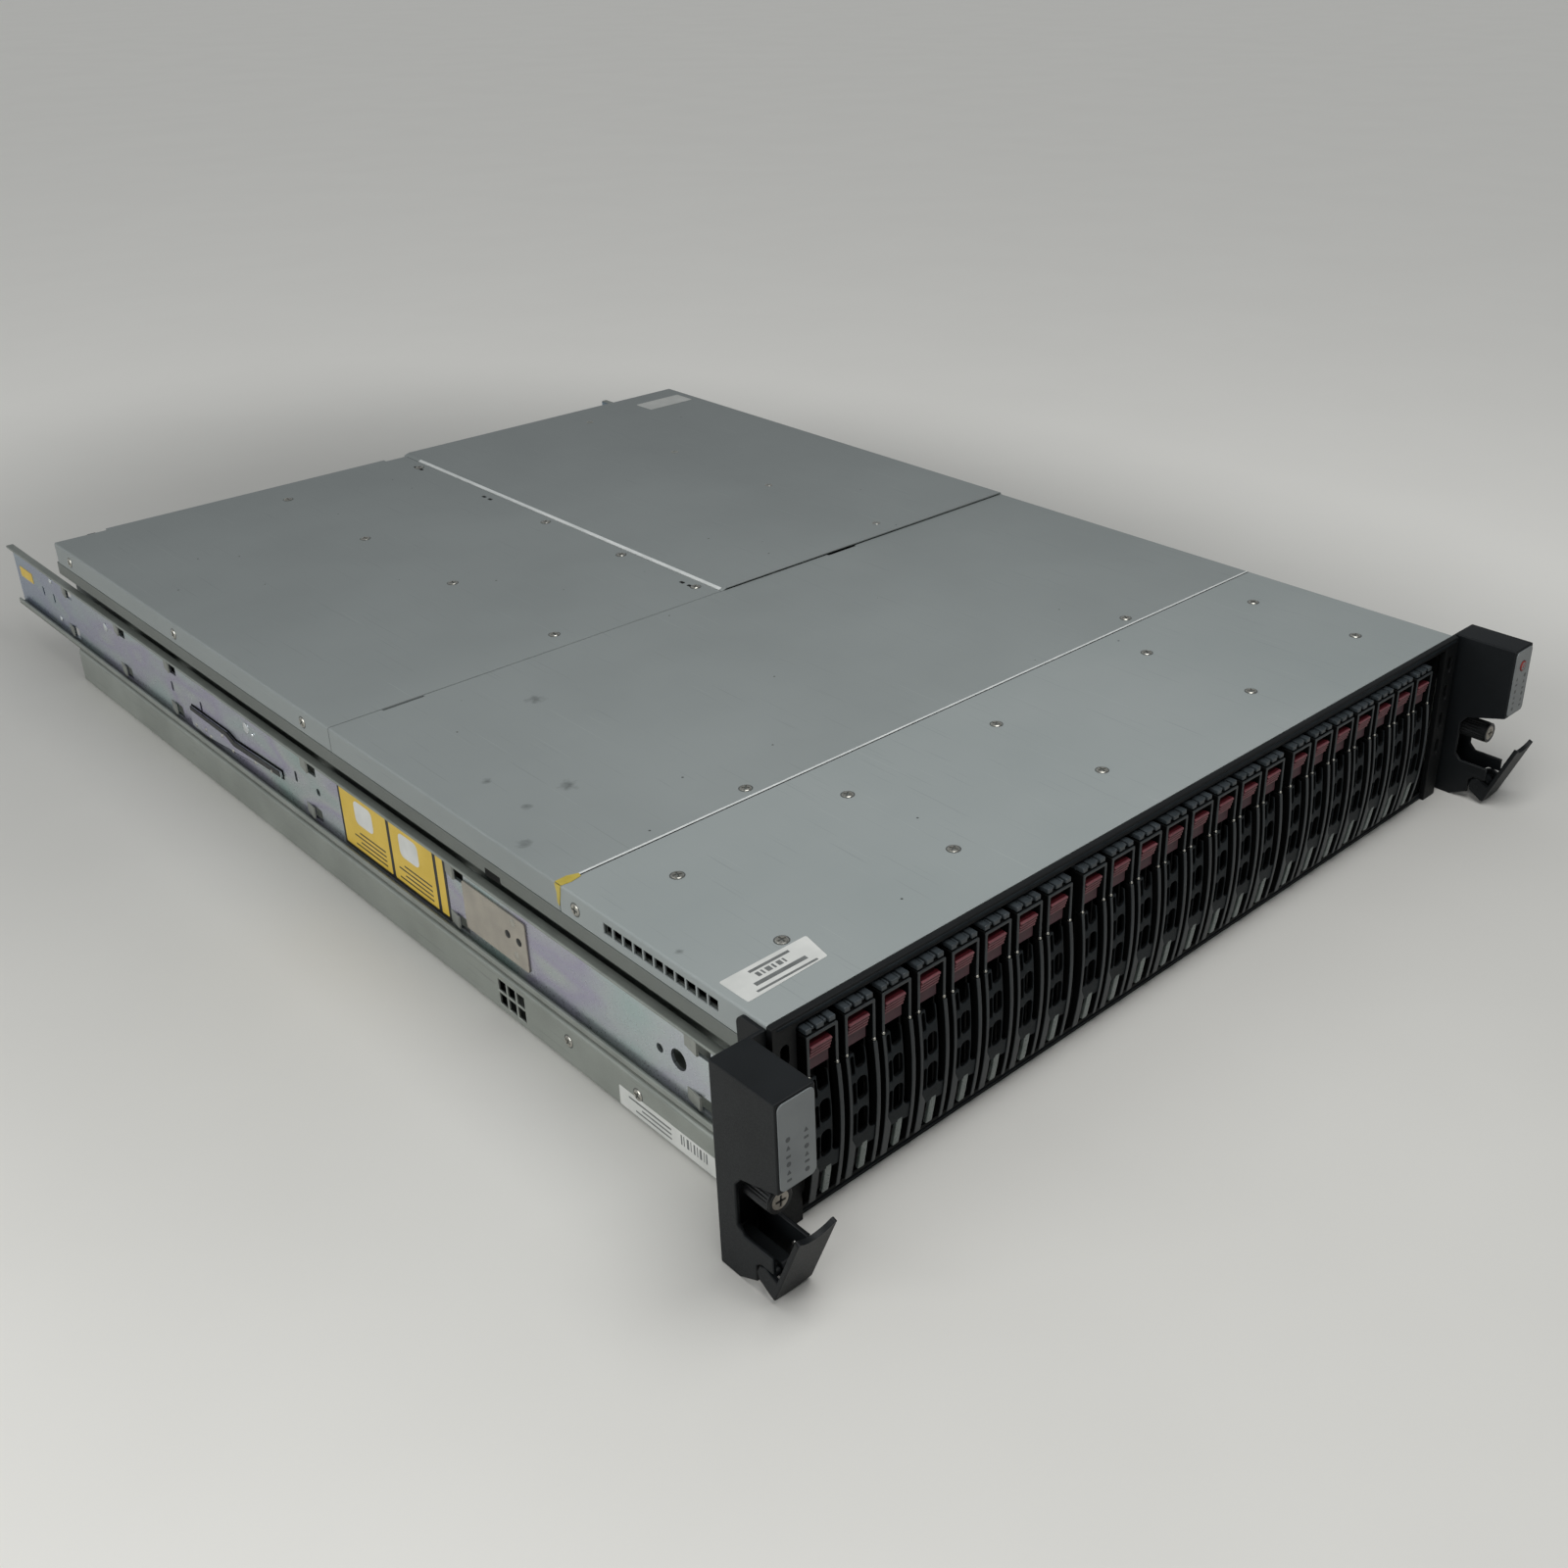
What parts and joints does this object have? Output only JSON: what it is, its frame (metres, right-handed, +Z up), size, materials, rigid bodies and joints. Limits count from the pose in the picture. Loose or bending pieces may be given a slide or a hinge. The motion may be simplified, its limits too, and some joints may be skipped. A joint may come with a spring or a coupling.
{
  "type": "computer server",
  "caption": "Two-unit rack storage server with a row of upright drive carriers, rack ears with latch flaps, inner slide rails and pull-out rear nodes and power supplies.",
  "frame": {"origin": "centre of the chassis floor's underside", "axes": "+X to the right seen from the front, +Y to the rear, +Z up"},
  "size_m": [0.4826, 0.744, 0.0882],
  "materials": {
    "chassis_steel": "satin",
    "cover_grey": "satin",
    "sheet_steel": "plain zinc-plated",
    "frame_black": "matte",
    "carrier_grey": "moulded",
    "release_maroon": "moulded",
    "ear_black": "moulded",
    "overlay_grey": "printed film",
    "button_grey": "moulded",
    "screw_black": "black oxide",
    "rail_zinc": "iridescent zinc plating",
    "stop_beige": "satin",
    "board_green": "circuit board",
    "lever_white": "painted",
    "fan_black": "moulded"
  },
  "bodies": {
    "chassis": {"chassis_base": "chassis_steel", "front_top_cover": "cover_grey", "middle_top_cover": "cover_grey", "rear_top_cover_left": "cover_grey", "rear_top_cover_right": "cover_grey", "bay_partitions": "sheet_steel", "front_frame": "frame_black", "drive_cage": "frame_black", "midplane_board": "board_green", "rack_ear_left": "ear_black", "rack_ear_right": "ear_black", "control_overlays": "overlay_grey", "inner_rail_left": "rail_zinc", "inner_rail_right": "rail_zinc", "rail_stop_plate_left": "stop_beige", "rail_stop_plate_right": "stop_beige"},
    "carrier_01": {"drive_carrier_01": "carrier_grey"},
    "carrier_02": {"drive_carrier_02": "carrier_grey"},
    "carrier_03": {"drive_carrier_03": "carrier_grey"},
    "carrier_04": {"drive_carrier_04": "carrier_grey"},
    "carrier_05": {"drive_carrier_05": "carrier_grey"},
    "carrier_06": {"drive_carrier_06": "carrier_grey"},
    "carrier_07": {"drive_carrier_07": "carrier_grey"},
    "carrier_08": {"drive_carrier_08": "carrier_grey"},
    "carrier_09": {"drive_carrier_09": "carrier_grey"},
    "carrier_10": {"drive_carrier_10": "carrier_grey"},
    "carrier_11": {"drive_carrier_11": "carrier_grey"},
    "carrier_12": {"drive_carrier_12": "carrier_grey"},
    "carrier_13": {"drive_carrier_13": "carrier_grey"},
    "carrier_14": {"drive_carrier_14": "carrier_grey"},
    "carrier_15": {"drive_carrier_15": "carrier_grey"},
    "carrier_16": {"drive_carrier_16": "carrier_grey"},
    "carrier_17": {"drive_carrier_17": "carrier_grey"},
    "carrier_18": {"drive_carrier_18": "carrier_grey"},
    "carrier_19": {"drive_carrier_19": "carrier_grey"},
    "carrier_20": {"drive_carrier_20": "carrier_grey"},
    "carrier_21": {"drive_carrier_21": "carrier_grey"},
    "carrier_22": {"drive_carrier_22": "carrier_grey"},
    "carrier_23": {"drive_carrier_23": "carrier_grey"},
    "carrier_01_lever": {"carrier_lever_01": "carrier_grey"},
    "carrier_01_release": {"carrier_release_01": "release_maroon"},
    "power_button": {"power_button": "button_grey"},
    "latch_flap_left": {"latch_flap_left": "ear_black"},
    "thumbscrew_left": {"thumbscrew_left": "screw_black"},
    "rail_latch_left": {"rail_latch_left": "rail_zinc"},
    "canister_left": {"canister_tray_left": "sheet_steel", "canister_board_left": "board_green"},
    "fan_left": {"fan_rotor_left": "fan_black"},
    "canister_lever_left": {"canister_lever_left": "lever_white"},
    "power_supply_left": {"power_supply_left": "sheet_steel"},
    "power_supply_left_latch": {"power_supply_latch_left": "release_maroon"},
    "latch_flap_right": {"latch_flap_right": "ear_black"},
    "thumbscrew_right": {"thumbscrew_right": "screw_black"},
    "rail_latch_right": {"rail_latch_right": "rail_zinc"},
    "canister_right": {"canister_tray_right": "sheet_steel", "canister_board_right": "board_green"},
    "fan_right": {"fan_rotor_right": "fan_black"},
    "canister_lever_right": {"canister_lever_right": "lever_white"},
    "power_supply_right": {"power_supply_right": "sheet_steel"},
    "power_supply_right_latch": {"power_supply_latch_right": "release_maroon"}
  },
  "joints": [
    {"name": "carrier_01_slide", "type": "slide", "parent": "chassis", "child": "carrier_01", "axis": [0, -1, 0], "range_m": [0, 0.15]},
    {"name": "carrier_02_slide", "type": "slide", "parent": "chassis", "child": "carrier_02", "axis": [0, -1, 0], "range_m": [0, 0.15]},
    {"name": "carrier_03_slide", "type": "slide", "parent": "chassis", "child": "carrier_03", "axis": [0, -1, 0], "range_m": [0, 0.15]},
    {"name": "carrier_04_slide", "type": "slide", "parent": "chassis", "child": "carrier_04", "axis": [0, -1, 0], "range_m": [0, 0.15]},
    {"name": "carrier_05_slide", "type": "slide", "parent": "chassis", "child": "carrier_05", "axis": [0, -1, 0], "range_m": [0, 0.15]},
    {"name": "carrier_06_slide", "type": "slide", "parent": "chassis", "child": "carrier_06", "axis": [0, -1, 0], "range_m": [0, 0.15]},
    {"name": "carrier_07_slide", "type": "slide", "parent": "chassis", "child": "carrier_07", "axis": [0, -1, 0], "range_m": [0, 0.15]},
    {"name": "carrier_08_slide", "type": "slide", "parent": "chassis", "child": "carrier_08", "axis": [0, -1, 0], "range_m": [0, 0.15]},
    {"name": "carrier_09_slide", "type": "slide", "parent": "chassis", "child": "carrier_09", "axis": [0, -1, 0], "range_m": [0, 0.15]},
    {"name": "carrier_10_slide", "type": "slide", "parent": "chassis", "child": "carrier_10", "axis": [0, -1, 0], "range_m": [0, 0.15]},
    {"name": "carrier_11_slide", "type": "slide", "parent": "chassis", "child": "carrier_11", "axis": [0, -1, 0], "range_m": [0, 0.15]},
    {"name": "carrier_12_slide", "type": "slide", "parent": "chassis", "child": "carrier_12", "axis": [0, -1, 0], "range_m": [0, 0.15]},
    {"name": "carrier_13_slide", "type": "slide", "parent": "chassis", "child": "carrier_13", "axis": [0, -1, 0], "range_m": [0, 0.15]},
    {"name": "carrier_14_slide", "type": "slide", "parent": "chassis", "child": "carrier_14", "axis": [0, -1, 0], "range_m": [0, 0.15]},
    {"name": "carrier_15_slide", "type": "slide", "parent": "chassis", "child": "carrier_15", "axis": [0, -1, 0], "range_m": [0, 0.15]},
    {"name": "carrier_16_slide", "type": "slide", "parent": "chassis", "child": "carrier_16", "axis": [0, -1, 0], "range_m": [0, 0.15]},
    {"name": "carrier_17_slide", "type": "slide", "parent": "chassis", "child": "carrier_17", "axis": [0, -1, 0], "range_m": [0, 0.15]},
    {"name": "carrier_18_slide", "type": "slide", "parent": "chassis", "child": "carrier_18", "axis": [0, -1, 0], "range_m": [0, 0.15]},
    {"name": "carrier_19_slide", "type": "slide", "parent": "chassis", "child": "carrier_19", "axis": [0, -1, 0], "range_m": [0, 0.15]},
    {"name": "carrier_20_slide", "type": "slide", "parent": "chassis", "child": "carrier_20", "axis": [0, -1, 0], "range_m": [0, 0.15]},
    {"name": "carrier_21_slide", "type": "slide", "parent": "chassis", "child": "carrier_21", "axis": [0, -1, 0], "range_m": [0, 0.15]},
    {"name": "carrier_22_slide", "type": "slide", "parent": "chassis", "child": "carrier_22", "axis": [0, -1, 0], "range_m": [0, 0.15]},
    {"name": "carrier_23_slide", "type": "slide", "parent": "chassis", "child": "carrier_23", "axis": [0, -1, 0], "range_m": [0, 0.15]},
    {"name": "carrier_01_lever_hinge", "type": "hinge", "parent": "carrier_01", "child": "carrier_01_lever", "pos_m": [-0.20044, -0.311, 0.0092], "axis": [1, 0, 0], "range_deg": [0, 60]},
    {"name": "carrier_01_release_press", "type": "slide", "parent": "carrier_01", "child": "carrier_01_release", "axis": [0, 1, 0], "range_m": [0, 0.002], "stiffness_N_per_m": 400},
    {"name": "power_button_press", "type": "slide", "parent": "chassis", "child": "power_button", "axis": [0, 1, 0], "range_m": [0, 0.0008], "stiffness_N_per_m": 800},
    {"name": "latch_flap_left_hinge", "type": "hinge", "parent": "chassis", "child": "latch_flap_left", "pos_m": [-0.23295, -0.3315, 0.009], "axis": [1, 0, 0], "range_deg": [-22, 50]},
    {"name": "thumbscrew_left_turn", "type": "hinge", "parent": "chassis", "child": "thumbscrew_left", "pos_m": [-0.23255, -0.3165, 0.036], "axis": [0, 1, 0], "continuous": true},
    {"name": "rail_latch_left_pivot", "type": "hinge", "parent": "chassis", "child": "rail_latch_left", "pos_m": [-0.2185, 0.142, 0.035], "axis": [1, 0, 0], "range_deg": [-5, 5], "stiffness_Nm_per_rad": 1.5},
    {"name": "canister_left_slide", "type": "slide", "parent": "chassis", "child": "canister_left", "axis": [0, 1, 0], "range_m": [0, 0.445]},
    {"name": "fan_left_spin", "type": "hinge", "parent": "canister_left", "child": "fan_left", "pos_m": [-0.0466, 0.29, 0.0431], "axis": [0, 1, 0], "continuous": true},
    {"name": "canister_lever_left_hinge", "type": "hinge", "parent": "canister_left", "child": "canister_lever_left", "pos_m": [-0.1561, 0.314, 0.0761], "axis": [0, 0, 1], "range_deg": [0, 80]},
    {"name": "power_supply_left_slide", "type": "slide", "parent": "chassis", "child": "power_supply_left", "axis": [0, 1, 0], "range_m": [0, 0.33]},
    {"name": "power_supply_left_latch_press", "type": "slide", "parent": "power_supply_left", "child": "power_supply_left_latch", "axis": [1, 0, 0], "range_m": [0, 0.004], "stiffness_N_per_m": 400},
    {"name": "latch_flap_right_hinge", "type": "hinge", "parent": "chassis", "child": "latch_flap_right", "pos_m": [0.23295, -0.3315, 0.009], "axis": [1, 0, 0], "range_deg": [-22, 50]},
    {"name": "thumbscrew_right_turn", "type": "hinge", "parent": "chassis", "child": "thumbscrew_right", "pos_m": [0.23255, -0.3165, 0.036], "axis": [0, 1, 0], "continuous": true},
    {"name": "rail_latch_right_pivot", "type": "hinge", "parent": "chassis", "child": "rail_latch_right", "pos_m": [0.2185, 0.142, 0.035], "axis": [1, 0, 0], "range_deg": [-5, 5], "stiffness_Nm_per_rad": 1.5},
    {"name": "canister_right_slide", "type": "slide", "parent": "chassis", "child": "canister_right", "axis": [0, 1, 0], "range_m": [0, 0.445]},
    {"name": "fan_right_spin", "type": "hinge", "parent": "canister_right", "child": "fan_right", "pos_m": [0.0466, 0.29, 0.0431], "axis": [0, 1, 0], "continuous": true},
    {"name": "canister_lever_right_hinge", "type": "hinge", "parent": "canister_right", "child": "canister_lever_right", "pos_m": [0.1561, 0.314, 0.0761], "axis": [0, 0, -1], "range_deg": [0, 80]},
    {"name": "power_supply_right_slide", "type": "slide", "parent": "chassis", "child": "power_supply_right", "axis": [0, 1, 0], "range_m": [0, 0.33]},
    {"name": "power_supply_right_latch_press", "type": "slide", "parent": "power_supply_right", "child": "power_supply_right_latch", "axis": [-1, 0, 0], "range_m": [0, 0.004], "stiffness_N_per_m": 400}
  ]
}
